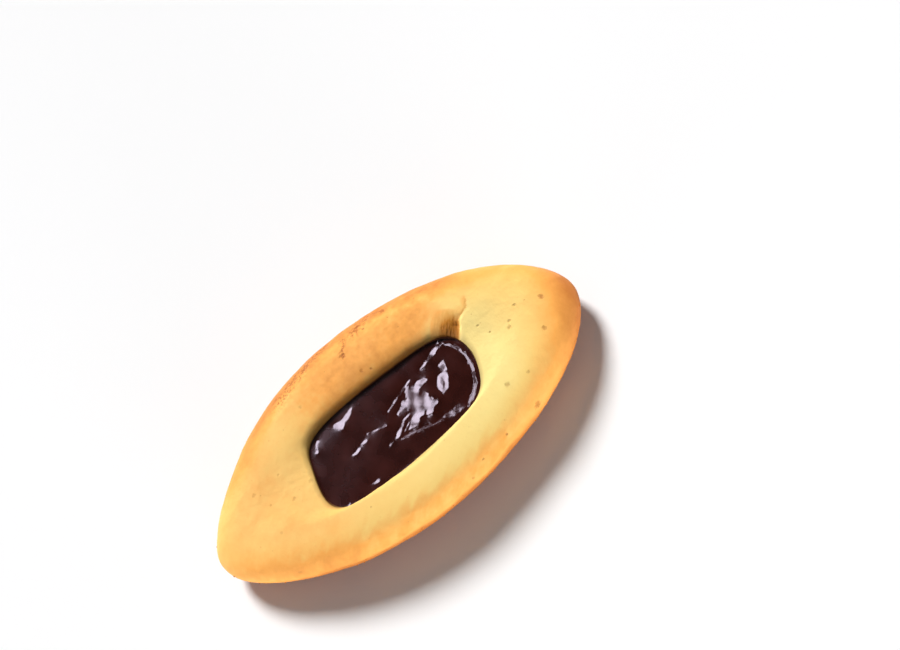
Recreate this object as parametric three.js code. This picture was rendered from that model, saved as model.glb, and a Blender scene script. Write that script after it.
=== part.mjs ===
// A boat-shaped filled biscuit: a baked shortcrust boat with an oblong hollow
// in its top, and the set chocolate filling that lies in the hollow.
// Millimetres, +Z up, +X along the boat. The biscuit lies on its flat base at z = 0,
// and the middle of its outline is the origin.
import * as THREE from 'three';

// ---- Driving dimensions ----
const LENGTH = 80; // tip to tip, before the waves round the outline
const WIDTH = 38.6; // across the middle, before the waves
const HEIGHT = 13; // base to the crest that runs round the hollow, before the lumps

// The outer wall bulges: it is widest at these heights, and draws in below to the flat base.
const WIDEST = { side: 6.0, tip: 5.2 };
const CREST = { side: HEIGHT, tip: 11.6 };
const BASE_INSET = { side: 4.4, tip: 8.0 }; // from the widest outline to the edge of the flat base
const CREST_INSET = { side: 7.0, tip: 12.0 }; // from the widest outline to the crest
const TIP_FALL = 3; // how late the heights change from side to tip: higher keeps the middle level
const TIP_SHARPNESS = 0.1; // 0 is an ellipse, more draws the sides in towards pointed tips
const SKEW = 0.03; // the hand-shaped outline leans along X by this share of Y

// The hollow: a rounded oblong, a little off the middle, as a finger pressed it. Its lip is
// firm on one side; on the other the dough slumped in and left a soft slope.
const HOLLOW = { length: 35.2, width: 17.4, x: 0.9, y: -1.8, squareness: 4.5 };
const RIM_HEIGHT = { firm: 12.0, slumped: 10.7 }; // where the lip turns down into the wall
const FLOOR_HEIGHT = 4.5;
const WALL_DRAFT = { firm: 1.5, slumped: 2.4 }; // how far the wall draws in down to the floor
const SLUMP = { inset: 0.6, towards: 110, spread: 1.5 }; // the dough slumped in towards this side

// The filling ends below the rim, and stays this far from the hollow's wall and floor.
const FILL_LEVEL = 10.3;
const FILL_DOME = 0.35; // how much higher the middle of the filling stands than its edge
const FILL_EDGE = 0.9; // width of the rounded edge of the filling
const CLEARANCE = 0.3;

// The crease pinched into the dough, from the hollow's corner out towards the edge.
const CREASE = { from: [16.6, 4.2], to: [23.6, 7.6], depth: 0.9, width: 1.5 };

// Hand shaping: waves round the outline and round the hollow, as shares of the radius,
// and low lumps over the top as [amplitude, waves along X per mm, waves along Y per mm, phase].
const OUTLINE_WAVES = [
  { turns: 3, cos: 0.0, sin: -0.014 },
  { turns: 4, cos: 0.01, sin: 0.001 },
  { turns: 5, cos: -0.007, sin: -0.004 },
];
const HOLLOW_WAVES = [
  { turns: 2, cos: 0.01, sin: 0.015 },
  { turns: 3, cos: 0.023, sin: -0.004 },
  { turns: 4, cos: 0.019, sin: 0.008 },
];
const LUMPS = [
  [0.16, 0.021, 0.034, 0.4],
  [0.1, 0.052, -0.041, 2.1],
  [0.07, -0.038, 0.083, 4.0],
];

// Mesh steps.
const AROUND = 84;
const FOOT_STEPS = 5;
const SHOULDER_STEPS = 8;
const LIP_STEPS = 7;
const WALL_STEPS = 3;

// ---- Curves ----
const mix = (from, to, share) => from + (to - from) * share;
const clamp = (value) => Math.min(1, Math.max(0, value));

function waves(terms, angle) {
  return terms.reduce(
    (sum, t) => sum + t.cos * Math.cos(t.turns * angle) + t.sin * Math.sin(t.turns * angle),
    1,
  );
}

// The boat's outline, inset from the widest one by inset.tip at the ends and inset.side between.
function outline(angle, inset) {
  const wave = waves(OUTLINE_WAVES, angle);
  const sine = Math.sin(angle);
  const y = (WIDTH / 2 - inset.side) * sine * Math.abs(sine) ** TIP_SHARPNESS * wave;
  const x = (LENGTH / 2 - inset.tip) * Math.cos(angle) * wave + SKEW * y;
  return [x, y];
}

// 1 on the side where the dough slumped into the hollow, fading to 0 on the firm side.
const slumpAt = (angle) =>
  (0.5 + 0.5 * Math.cos(angle - THREE.MathUtils.degToRad(SLUMP.towards))) ** SLUMP.spread;

const slumped = (angle, { firm, slumped: low }) => mix(firm, low, slumpAt(angle));

// The hollow's outline, drawn in by `drawn` on every side and by the slump on one.
function hollow(angle, drawn) {
  const [cosine, sine] = [Math.cos(angle), Math.sin(angle)];
  const inset = drawn + SLUMP.inset * slumpAt(angle);
  const n = HOLLOW.squareness;
  const reach = (Math.abs(cosine) ** n + Math.abs(sine) ** n) ** (-1 / n) * waves(HOLLOW_WAVES, angle);
  const y = (HOLLOW.width / 2 - inset) * sine * reach;
  const x = (HOLLOW.length / 2 - inset) * cosine * reach + SKEW * y;
  return [HOLLOW.x + x, HOLLOW.y + y];
}

// A height that is `side` along the middle of the boat and falls to `tip` at its ends.
const heightAt = (angle, { side, tip }) => mix(side, tip, Math.abs(Math.cos(angle)) ** TIP_FALL);

function lumps(x, y) {
  return LUMPS.reduce(
    (sum, [size, alongX, alongY, phase]) =>
      sum + size * Math.sin(2 * Math.PI * (alongX * x + alongY * y) + phase),
    0,
  );
}

// Depth of the pinched crease under the smooth top at a point.
function crease(x, y) {
  const start = new THREE.Vector2(...CREASE.from);
  const run = new THREE.Vector2(...CREASE.to).sub(start);
  const offset = new THREE.Vector2(x, y).sub(start);
  const along = clamp(offset.dot(run) / run.lengthSq());
  const away = offset.sub(run.clone().multiplyScalar(along)).length();
  return CREASE.depth * (1 - 0.6 * along) * Math.exp(-((away / CREASE.width) ** 2));
}

// ---- The pastry's section, from the edge of the base up, over the crest and into the hollow ----
const quarter = (step, steps) => (Math.PI / 2) * (step / steps);

// Each stretch gives the point at `angle` round the boat, for a share of the way along it.
function footPoint(angle, turn) {
  const inset = {
    side: BASE_INSET.side * (1 - Math.sin(turn)),
    tip: BASE_INSET.tip * (1 - Math.sin(turn)),
  };
  const [x, y] = outline(angle, inset);
  return [x, y, heightAt(angle, WIDEST) * (1 - Math.cos(turn))];
}

function shoulderPoint(angle, turn) {
  const inset = {
    side: CREST_INSET.side * (1 - Math.cos(turn)),
    tip: CREST_INSET.tip * (1 - Math.cos(turn)),
  };
  const [x, y] = outline(angle, inset);
  const z = mix(heightAt(angle, WIDEST), heightAt(angle, CREST), Math.sin(turn));
  return [x, y, z + (lumps(x, y) - crease(x, y)) * Math.sin(turn)];
}

function lipPoint(angle, turn) {
  const crest = outline(angle, CREST_INSET);
  const rim = hollow(angle, 0);
  const x = mix(crest[0], rim[0], Math.sin(turn));
  const y = mix(crest[1], rim[1], Math.sin(turn));
  const z = mix(slumped(angle, RIM_HEIGHT), heightAt(angle, CREST), Math.cos(turn));
  return [x, y, z + lumps(x, y) - crease(x, y)];
}

function wallPoint(angle, share) {
  const [x, y] = hollow(angle, share * slumped(angle, WALL_DRAFT));
  const z = mix(slumped(angle, RIM_HEIGHT), FLOOR_HEIGHT, share);
  return [x, y, z + (lumps(x, y) - crease(x, y)) * (1 - share)];
}

// ---- Closed bodies, made of rings ----
// Each ring is joined to the next, and both ends are closed with a fan to a middle point.
function ringsToGeometry(rings, firstPole, lastPole) {
  const positions = [...firstPole];
  rings.forEach((ring) => ring.forEach((point) => positions.push(...point)));
  positions.push(...lastPole);
  const vertex = (ring, step) => 1 + ring * AROUND + (step % AROUND);
  const last = 1 + rings.length * AROUND;
  const triangles = [];
  for (let step = 0; step < AROUND; step += 1) {
    triangles.push(0, vertex(0, step + 1), vertex(0, step));
    for (let ring = 0; ring + 1 < rings.length; ring += 1) {
      const [a, b] = [vertex(ring, step), vertex(ring, step + 1)];
      const [c, d] = [vertex(ring + 1, step), vertex(ring + 1, step + 1)];
      triangles.push(a, b, d, a, d, c);
    }
    triangles.push(last, vertex(rings.length - 1, step), vertex(rings.length - 1, step + 1));
  }
  const geometry = new THREE.BufferGeometry();
  geometry.setAttribute('position', new THREE.Float32BufferAttribute(positions, 3));
  geometry.setIndex(triangles);
  geometry.computeVertexNormals();
  return geometry;
}

const ringOf = (pointAt) =>
  Array.from({ length: AROUND }, (_, step) => pointAt((2 * Math.PI * step) / AROUND));

function pastryGeometry() {
  const rings = [];
  for (let i = 0; i <= FOOT_STEPS; i += 1) {
    rings.push(ringOf((angle) => footPoint(angle, quarter(i, FOOT_STEPS))));
  }
  for (let i = 1; i <= SHOULDER_STEPS; i += 1) {
    rings.push(ringOf((angle) => shoulderPoint(angle, quarter(i, SHOULDER_STEPS))));
  }
  for (let i = 1; i <= LIP_STEPS; i += 1) {
    rings.push(ringOf((angle) => lipPoint(angle, quarter(i, LIP_STEPS))));
  }
  for (let i = 1; i <= WALL_STEPS; i += 1) {
    rings.push(ringOf((angle) => wallPoint(angle, i / WALL_STEPS)));
  }
  return ringsToGeometry(rings, [0, 0, 0], [HOLLOW.x, HOLLOW.y, FLOOR_HEIGHT]);
}

// The filling follows the hollow's wall, CLEARANCE inside it, up to its level.
function fillingGeometry() {
  const ringAt = (z, inset) =>
    ringOf((angle) => {
      const rim = slumped(angle, RIM_HEIGHT);
      const drawn = (slumped(angle, WALL_DRAFT) * (rim - z)) / (rim - FLOOR_HEIGHT);
      const [x, y] = hollow(angle, drawn + CLEARANCE + inset);
      return [x, y, z];
    });
  const bottom = FLOOR_HEIGHT + CLEARANCE;
  const rings = [
    ringAt(bottom, 0),
    ringAt(mix(bottom, FILL_LEVEL, 0.5), 0),
    ringAt(FILL_LEVEL - FILL_EDGE / 3, 0),
    ringAt(FILL_LEVEL, FILL_EDGE / 2),
    ringAt(FILL_LEVEL + FILL_DOME / 2, FILL_EDGE * 2),
    ringAt(FILL_LEVEL + FILL_DOME, FILL_EDGE * 5),
  ];
  return ringsToGeometry(
    rings,
    [HOLLOW.x, HOLLOW.y, bottom],
    [HOLLOW.x, HOLLOW.y, FILL_LEVEL + FILL_DOME],
  );
}

// ---- The biscuit ----
const pastry = new THREE.Mesh(
  pastryGeometry(),
  new THREE.MeshStandardMaterial({ color: 0xf6c67e, roughness: 0.8, metalness: 0 }),
);
pastry.name = 'pastry_boat';

const filling = new THREE.Mesh(
  fillingGeometry(),
  new THREE.MeshStandardMaterial({ color: 0x2c120f, roughness: 0.2, metalness: 0 }),
);
filling.name = 'chocolate_filling';

const biscuit = new THREE.Group();
biscuit.add(pastry, filling);

// The hand-shaped outline isn't quite even, so the whole is moved to put its middle at X = Y = 0.
pastry.geometry.computeBoundingBox();
const middle = pastry.geometry.boundingBox.getCenter(new THREE.Vector3());
biscuit.position.set(-middle.x, -middle.y, 0);
biscuit.updateMatrixWorld(true);

export default biscuit;
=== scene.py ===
# %% [markdown]
# # A boat-shaped filled biscuit
#
# A bakery biscuit: a boat of shortcrust with blunt, pointed ends, an oblong hollow pressed in
# its top, and dark chocolate cream set in the hollow. It lies on its flat base.
#
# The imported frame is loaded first. It fixes the size and place of both pieces, in metres, and
# every shape below is worked out from its boxes.

# %% Load the frame
import math

import bpy
import numpy as np
from mathutils import Matrix, Vector


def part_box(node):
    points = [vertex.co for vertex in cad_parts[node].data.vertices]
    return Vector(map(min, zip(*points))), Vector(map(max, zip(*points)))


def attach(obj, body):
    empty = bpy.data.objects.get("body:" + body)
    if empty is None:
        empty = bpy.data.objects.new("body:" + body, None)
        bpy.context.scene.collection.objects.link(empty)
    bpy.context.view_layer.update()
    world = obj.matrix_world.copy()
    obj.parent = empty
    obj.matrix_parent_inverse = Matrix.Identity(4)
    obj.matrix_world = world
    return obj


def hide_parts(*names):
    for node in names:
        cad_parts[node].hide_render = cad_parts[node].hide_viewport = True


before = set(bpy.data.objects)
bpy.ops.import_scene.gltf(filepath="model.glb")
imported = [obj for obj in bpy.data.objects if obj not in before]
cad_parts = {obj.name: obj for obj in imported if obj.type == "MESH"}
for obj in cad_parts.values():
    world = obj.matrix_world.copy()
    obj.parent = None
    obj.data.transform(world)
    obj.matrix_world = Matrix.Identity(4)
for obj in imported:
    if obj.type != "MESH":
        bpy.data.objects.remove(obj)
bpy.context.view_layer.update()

MM = 0.001

# %% [markdown]
# ## Arithmetic on node sockets
#
# Both geometry trees and materials are made of nodes. A formula takes a dozen Math nodes, which
# are tedious to add one by one, so a small class wraps a socket: adding or multiplying two of
# these wires adds the Math node and gives back the wire that leaves it.


# %% Wires and nodes
class Wire:
    """A value that leaves a socket. Arithmetic on it adds Math nodes to its tree."""

    def __init__(self, tree, socket):
        self.tree = tree
        self.socket = socket

    def math(self, operation, *values):
        return result(self.tree, "ShaderNodeMath", dict(enumerate(values)), operation=operation)

    def __add__(self, other):
        return self.math("ADD", self, other)

    def __sub__(self, other):
        return self.math("SUBTRACT", self, other)

    def __rsub__(self, other):
        return self.math("SUBTRACT", other, self)

    def __mul__(self, other):
        return self.math("MULTIPLY", self, other)

    def __truediv__(self, other):
        return self.math("DIVIDE", self, other)

    def __rtruediv__(self, other):
        return self.math("DIVIDE", other, self)

    def __pow__(self, other):
        return self.math("POWER", self, other)

    __radd__ = __add__
    __rmul__ = __mul__

    def sine(self):
        return self.math("SINE", self)

    def cosine(self):
        return self.math("COSINE", self)

    def size(self):
        return self.math("ABSOLUTE", self)

    def above(self, low):
        return self.math("MAXIMUM", self, low)

    def below(self, high):
        return self.math("MINIMUM", self, high)

    def share(self, low, high, smooth=False):
        """0 at low and before, 1 at high and past it."""
        kind = "SMOOTHSTEP" if smooth else "LINEAR"
        inputs = {"Value": self, "From Min": low, "From Max": high}
        return result(self.tree, "ShaderNodeMapRange", inputs, "Result", interpolation_type=kind)


def set_inputs(tree, node, inputs):
    """Fills in a node's inputs: wires are linked, and plain values are set."""
    for key, value in inputs.items():
        if isinstance(value, Wire):
            tree.links.new(value.socket, node.inputs[key])
        else:
            node.inputs[key].default_value = value


def add_node(tree, kind, inputs=None, **settings):
    """Adds a node, with its settings and its inputs."""
    node = tree.nodes.new(kind)
    for name, value in settings.items():
        setattr(node, name, value)
    set_inputs(tree, node, inputs or {})
    return node


def result(tree, kind, inputs=None, output=0, **settings):
    """Adds a node, and gives the wire that leaves it."""
    return Wire(tree, add_node(tree, kind, inputs, **settings).outputs[output])


def mix(start, end, share):
    """The wire, or number, that share of the way from start to end."""
    return start + (end - start) * share


def split(tree, vector):
    """The three parts of a vector wire."""
    node = add_node(tree, "ShaderNodeSeparateXYZ", {0: vector})
    return [Wire(tree, socket) for socket in node.outputs]


def join(tree, x, y, z):
    """A vector wire from three parts."""
    return result(tree, "ShaderNodeCombineXYZ", {0: x, 1: y, 2: z})


def noise(tree, place, size, detail=2.0, roughness=0.5, seed=0.0):
    """Soft noise from about -1 to 1, with patches of about that size, in the units of place."""
    inputs = {"Vector": place, "W": seed, "Scale": 1 / size, "Detail": detail, "Roughness": roughness}
    return result(tree, "ShaderNodeTexNoise", inputs, noise_dimensions="4D") * 2 - 1


def distance_to_line(x, y, start, end):
    """How far the point (x, y) is from a straight line, and its share of the way along it."""
    run = (end[0] - start[0], end[1] - start[1])
    dx, dy = x - start[0], y - start[1]
    along = ((dx * run[0] + dy * run[1]) / (run[0] ** 2 + run[1] ** 2)).above(0.0).below(1.0)
    off_x, off_y = dx - along * run[0], dy - along * run[1]
    return (off_x * off_x + off_y * off_y) ** 0.5, along


def bell(away, width):
    """1 on the spot, fading smoothly to nothing about two widths away."""
    share = away / width
    return share.math("EXPONENT", share * share * -1)


def along_axis(tree, place, axis):
    """How far a place lies along an axis, given as a row of three numbers."""
    return result(tree, "ShaderNodeVectorMath", {0: place, 1: axis}, "Value", operation="DOT_PRODUCT")


def scaled(tree, vector, factor):
    return result(tree, "ShaderNodeVectorMath", {0: vector, "Scale": factor}, operation="SCALE")


# %% [markdown]
# ## Trees that make a mesh
#
# A geometry tree is a recipe with named inputs. It is put on an empty object as a modifier, each
# input is set by its socket's identifier, and the result is taken off as a plain mesh, so the
# finished piece is an ordinary object at the origin.


# %% Make a tree, and take its mesh
def new_tree(name, sizes):
    """A geometry tree with one named input for each size, and the wires that leave them."""
    tree = bpy.data.node_groups.new(name, "GeometryNodeTree")
    tree.interface.new_socket("Geometry", in_out="OUTPUT", socket_type="NodeSocketGeometry")
    tree.interface.new_socket("Surface", in_out="INPUT", socket_type="NodeSocketGeometry")
    for label, value in sizes.items():
        kind = "NodeSocketInt" if isinstance(value, int) else "NodeSocketFloat"
        tree.interface.new_socket(label, in_out="INPUT", socket_type=kind)
    start = tree.nodes.new("NodeGroupInput")
    surface = Wire(tree, start.outputs["Surface"])
    return tree, surface, {label: Wire(tree, start.outputs[label]) for label in sizes}


def finish_tree(tree, geometry, material):
    """Ends a tree in real geometry with its material."""
    real = result(tree, "GeometryNodeRealizeInstances", {0: geometry})
    dressed = result(tree, "GeometryNodeSetMaterial", {0: real, "Material": material})
    add_node(tree, "NodeGroupOutput", {0: dressed})
    print(tree.name, "takes", len(tree.nodes), "nodes")


def add_object(name, data):
    """Puts something in the scene, at the origin."""
    thing = bpy.data.objects.new(name, data)
    bpy.context.scene.collection.objects.link(thing)
    return thing


def add_piece(name, mesh):
    """Puts a mesh in the scene, smooth, and prints its triangles."""
    mesh.name = name
    mesh.shade_smooth()
    print(name, "has", sum(len(face.vertices) - 2 for face in mesh.polygons), "triangles")
    return add_object(name, mesh)


def grow(name, tree, sizes, base=None):
    """Runs a tree and returns the result as an object with a plain mesh."""
    host = add_object(name + "_host", base or bpy.data.meshes.new(name + "_host"))
    modifier = host.modifiers.new("grow", "NODES")
    modifier.node_group = tree
    for item in tree.interface.items_tree:
        if item.in_out == "INPUT" and item.name in sizes:
            modifier[item.identifier] = sizes[item.name]
    graph = bpy.context.evaluated_depsgraph_get()
    mesh = bpy.data.meshes.new_from_object(host.evaluated_get(graph), depsgraph=graph)
    bpy.data.objects.remove(host)
    return add_piece(name, mesh)


# %% [markdown]
# ## The sizes of the boat
#
# The box of the pastry gives its length and width. The rest are the sizes that a baker would
# name: how far the base and the crest lie in from the widest outline, the hollow, and its rim,
# which is firm on one side and slumped into the hollow on the other.
#
# A hand leaves nothing even. A few waves go round the outline and round the hollow: each is a
# number of turns, and its cosine's and sine's share of the radius. Low lumps lie over the top: each
# is a height, the turns it makes in a millimetre along X and along Y, and a phase.

# %% Driving sizes, in millimetres
box_low, box_high = [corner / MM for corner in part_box("pastry_boat")]

OUTLINE_WAVES = [(3, 0.0, -0.014), (4, 0.01, 0.001), (5, -0.007, -0.004)]
HOLLOW_WAVES = [(2, 0.01, 0.015), (3, 0.023, -0.004), (4, 0.019, 0.008)]
LUMPS = [(0.16, 0.021, 0.034, 0.4), (0.1, 0.052, -0.041, 2.1), (0.07, -0.038, 0.083, 4.0)]


def wave_at(terms, angle):
    """The waves' share of the radius at one angle, as a number."""
    return 1 + sum(c * math.cos(n * angle) + s * math.sin(n * angle) for n, c, s in terms)


def even_size(across, angle):
    """The size before the waves, from the box's side and the angle that it is measured along."""
    return 2 * across / (wave_at(OUTLINE_WAVES, angle) + wave_at(OUTLINE_WAVES, angle + math.pi))


HOLLOW = {
    "Skew": 0.03,
    "Hollow Length": 35.2,
    "Hollow Width": 17.4,
    "Hollow X": 0.9,
    "Hollow Y": -1.8,
    "Squareness": 4.5,
    "Rim Firm": 12.0,
    "Rim Slumped": 10.7,
    "Draft Firm": 1.5,
    "Draft Slumped": 2.4,
    "Floor Height": 4.5,
    "Slump Inset": 0.6,
    "Slump Towards": math.radians(110),
    "Slump Spread": 1.5,
}
BOAT = HOLLOW | {
    "Length": even_size(box_high.x - box_low.x, 0.0),
    "Width": even_size(box_high.y - box_low.y, math.pi / 2),
    "Widest Side": 6.0,
    "Widest Tip": 5.2,
    "Crest Side": 13.0,
    "Crest Tip": 11.6,
    "Base Inset Side": 4.4,
    "Base Inset Tip": 8.0,
    "Crest Inset Side": 7.0,
    "Crest Inset Tip": 12.0,
    "Tip Fall": 3.0,
    "Tip Sharpness": 0.1,
}
AROUND = 600  # columns of the grid, round the boat
STEPS = {"base": 6, "foot": 26, "shoulder": 54, "lip": 50, "wall": 16, "floor": 3}  # its rows
print("boat", round(BOAT["Length"], 1), "x", round(BOAT["Width"], 1), "mm before its waves")


# %% [markdown]
# ## The boat's rule
#
# The pastry is a family of closed rings. Each ring is an outline round the boat, and its place in
# the section says how far it lies in and how high it is: across the base, round the foot to the
# widest line, over the shoulder to the crest, down the lip and the wall, and over the floor of the
# hollow. A flat grid has just those two directions, so a grid is bent: one side runs round the
# boat and the other through the section.
#
# The formulas are written once for two uses. Given wires they add nodes, and given NumPy arrays
# they work numbers out, which the filling needs later.


# %% Outlines, for wires and for arrays
def sine(angle):
    return angle.sine() if isinstance(angle, Wire) else np.sin(angle)


def cosine(angle):
    return angle.cosine() if isinstance(angle, Wire) else np.cos(angle)


def size(value):
    return value.size() if isinstance(value, Wire) else np.abs(value)


def waves(angle, terms):
    total = 1.0
    for turns, across, along in terms:
        total = cosine(angle * turns) * across + sine(angle * turns) * along + total
    return total


def boat_outline(angle, inset_side, inset_tip, sizes):
    """The outline of the boat, drawn in by one inset at its sides and another at its tips."""
    wave = waves(angle, OUTLINE_WAVES)
    y = (sizes["Width"] / 2 - inset_side) * sine(angle) * size(sine(angle)) ** sizes["Tip Sharpness"]
    y = y * wave
    x = (sizes["Length"] / 2 - inset_tip) * cosine(angle) * wave + sizes["Skew"] * y
    return x, y


def slump_at(angle, sizes):
    """1 on the side where the dough slumped into the hollow, fading to 0 on the firm side."""
    return (cosine(angle - sizes["Slump Towards"]) * 0.5 + 0.5) ** sizes["Slump Spread"]


def hollow_outline(angle, drawn, sizes):
    """The rounded oblong of the hollow, drawn in on every side, and by the slump on one."""
    inset = slump_at(angle, sizes) * sizes["Slump Inset"] + drawn
    power = sizes["Squareness"]
    reach = (size(cosine(angle)) ** power + size(sine(angle)) ** power) ** (-1 / power)
    reach = reach * waves(angle, HOLLOW_WAVES)
    y = (sizes["Hollow Width"] / 2 - inset) * sine(angle) * reach
    x = (sizes["Hollow Length"] / 2 - inset) * cosine(angle) * reach + sizes["Skew"] * y
    return sizes["Hollow X"] + x, sizes["Hollow Y"] + y


def middle_of_boat():
    """The middle of the outline's box, which the frame has at X = Y = 0."""
    x, y = boat_outline(np.linspace(0, 2 * math.pi, 600), 0.0, 0.0, BOAT)
    return float(x.min() + x.max()) / 2, float(y.min() + y.max()) / 2


MIDDLE = middle_of_boat()
print("the outline's middle is moved from", [round(v, 2) for v in MIDDLE])


# %% The section, from the base to the hollow's floor
def section_shares(rows):
    """For each stretch of the section, how much of it a row has passed."""
    shares, passed = {}, 0
    for stretch, steps in STEPS.items():
        shares[stretch] = rows.share(passed, passed + steps)
        passed += steps
    return shares


def boat_point(angle, shares, sizes):
    """A point of the smooth boat, and how far it is from the rim, less than 0 down the wall."""
    foot, shoulder, lip = [shares[s] * (math.pi / 2) for s in ("foot", "shoulder", "lip")]
    side = sizes["Base Inset Side"] * (1 - foot.sine())
    side = side + sizes["Crest Inset Side"] * (1 - shoulder.cosine())
    tip = sizes["Base Inset Tip"] * (1 - foot.sine())
    tip = tip + sizes["Crest Inset Tip"] * (1 - shoulder.cosine())
    outer_x, outer_y = boat_outline(angle, side, tip, sizes)
    outer_x, outer_y = outer_x * shares["base"], outer_y * shares["base"]
    slump = slump_at(angle, sizes)
    draft = mix(sizes["Draft Firm"], sizes["Draft Slumped"], slump)
    inner_x, inner_y = hollow_outline(angle, draft * shares["wall"], sizes)
    inner_x = mix(inner_x, sizes["Hollow X"], shares["floor"])
    inner_y = mix(inner_y, sizes["Hollow Y"], shares["floor"])

    end = angle.cosine().size() ** sizes["Tip Fall"]
    widest = mix(sizes["Widest Side"], sizes["Widest Tip"], end)
    crest = mix(sizes["Crest Side"], sizes["Crest Tip"], end)
    rim = mix(sizes["Rim Firm"], sizes["Rim Slumped"], slump)
    z = widest * (1 - foot.cosine()) + (crest - widest) * shoulder.sine()
    z = z + (rim - crest) * (1 - lip.cosine())
    z = z + (sizes["Floor Height"] - rim) * shares["wall"]
    gap_x, gap_y = outer_x - inner_x, outer_y - inner_y
    away = (gap_x * gap_x + gap_y * gap_y) ** 0.5 * (1 - lip.sine()) - shares["wall"] * 6
    return mix(outer_x, inner_x, lip.sine()), mix(outer_y, inner_y, lip.sine()), z, away


# %% [markdown]
# ## What makes it handmade
#
# A machine's boat would be smooth. In this one the end was folded over at the hollow's corner, so
# a short step runs out from there: sharp on the side of the end, and on the other side the dough
# comes up again in a soft slope. By the hollow the slope is brown and streaky, and further out it
# is golden; that colour is partly browning and partly painted shade of the crease and of the slope,
# which faces away from the light. There are low lumps, small pits where bubbles broke, and scuffs
# along the far rim.
#
# The step and the lumps move the surface. The places of pits and scuffs are kept as soft spots in
# an attribute, because they are finer than the mesh, and the finish draws them there in full detail.

# %% Marks on the dough, in millimetres
FOLD = {
    "line": [(19.0, 2.1), (20.3, 3.75), (20.9, 4.75), (22.4, 5.15), (23.5, 5.5), (24.2, 6.6)],
    "depth": 0.65,
    "left": 1.5,  # how far the drop reaches on that side of the line
    "right": 0.4,
    "foot": (19.2, 2.4),  # where the streaks start
    "run": (0.65, 0.76),  # and the way they run
}
# x, y and radius
PITS = [
    (34.9, -1.2, 0.8), (30.4, 0.4, 0.55), (28.0, -1.4, 0.45), (27.3, -2.4, 0.6), (32.0, -6.3, 0.7),
    (24.2, -0.8, 0.35), (23.2, 1.5, 0.45), (21.1, -10.7, 0.75), (25.2, -10.9, 0.5), (22.8, -15.2, 1.2),
    (15.6, -16.5, 0.5), (9.9, -17.5, 0.45), (6.4, -18.6, 0.5),
    (6.55, 14.7, 0.5), (5.5, 16.1, 0.8), (10.3, 16.3, 0.4), (11.3, 13.4, 0.35), (0.7, 12.9, 0.8),
    (3.6, 7.6, 0.4), (-9.0, 15.8, 0.7), (-6.5, 15.9, 0.4), (-11.1, 15.5, 0.8), (-10.7, 10.2, 0.5),
    (-3.3, 17.1, 0.5), (-1.3, 17.6, 0.45),
    (-16.9, -1.5, 0.7), (-21.0, -2.3, 0.6), (-26.8, 3.1, 0.6), (-26.1, -6.0, 0.5), (-25.2, -0.4, 0.4),
    (-21.0, 3.2, 0.4), (-28.1, -12.4, 0.7), (2.0, 8.4, 0.5),
]
# start, end and reach
SCUFFS = [
    ((-14.0, 14.0), (-8.2, 16.0), 1.3), ((-7.0, 16.4), (-1.0, 18.0), 1.1),
    ((2.2, 15.8), (0.7, 12.9), 0.6), ((4.6, 15.6), (8.2, 17.2), 1.1), ((10.0, 16.6), (11.4, 15.4), 0.5),
]
print("a fold,", len(PITS), "pits and", len(SCUFFS), "scuffs")


def fold_sides(x, y):
    """How far a point is from the fold on its left and on its right, and its share along it."""
    nearest, left, along = 99.0, 0.0, 0.0
    line = FOLD["line"]
    for step, (start, end) in enumerate(zip(line, line[1:])):
        away, share = distance_to_line(x, y, start, end)
        side = (y - start[1]) * (end[0] - start[0]) - (x - start[0]) * (end[1] - start[1])
        nearer = away.math("LESS_THAN", away, nearest)
        left = mix(left, side.share(-0.01, 0.01), nearer)
        along = mix(along, (share + step) / (len(line) - 1), nearer)
        nearest = away.below(nearest)
    return nearest * left + (1 - left) * 30, nearest * (1 - left) + left * 30, along


def fold_drop(x, y):
    """How far the surface drops at the fold. A low ridge follows it, and both fade outwards."""
    left, right, along = fold_sides(x, y)
    slope = bell(left, FOLD["left"]) + bell(right, FOLD["right"])
    ridge = bell(right - 1.0, 0.8) * 0.07
    return (slope * FOLD["depth"] - ridge) * (1 - along.share(0.25, 0.6) * 0.8)


def fold_brown_and_shade(x, y):
    """The brown patch by the hollow's corner, the fold's brown line, and the golden slope: browning,
    and painted shade of the crease and of the slope that faces away from the light.
    """
    left, _, along = fold_sides(x, y)
    away_x, away_y = x - FOLD["foot"][0], y - FOLD["foot"][1]
    up = away_x * FOLD["run"][0] + away_y * FOLD["run"][1]
    out = away_y * FOLD["run"][0] - away_x * FOLD["run"][1]
    patch = out.share(-0.4, 0.2) * (1 - out.share(2.0, 5.2)) * (1 - up.share(2.0, 5.0))
    patch = patch * up.share(-2.5, -1.5)
    soft_line = bell(left, 0.7) * along.share(0.3, 0.4) * (1 - along.share(0.5, 0.7) * 0.4)
    sharp_line = bell(left - 0.1, 0.35)
    golden = bell(left - 0.5, 1.2) * along.share(0.1, 0.3) * (1 - along.share(0.7, 0.95)) * 0.12
    return patch.above(soft_line.above(sharp_line) * 0.45).above(golden).below(1.0)


def soft_spots(tree, surface, place, spots):
    """1 in the middle of each spot. A ray from above finds how high on the surface that is."""
    x, y, z = split(tree, place)
    total = 0.0
    for spot_x, spot_y, radius in spots:
        inputs = {
            "Target Geometry": surface,
            "Source Position": join(tree, spot_x, spot_y, 50.0),
            "Ray Direction": (0.0, 0.0, -1.0),
            "Ray Length": 50.0,
        }
        spot_z = split(tree, result(tree, "GeometryNodeRaycast", inputs, "Hit Position"))[2]
        dx, dy, dz = x - spot_x, y - spot_y, z - spot_z
        total = bell((dx * dx + dy * dy + dz * dz) ** 0.5, radius) + total
    return total.below(1.0)


def soft_lines(x, y, lines):
    """1 along each line, fading to both sides over its reach."""
    total = 0.0
    for start, end, reach in lines:
        total = bell(distance_to_line(x, y, start, end)[0], reach) + total
    return total.below(1.0)


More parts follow.
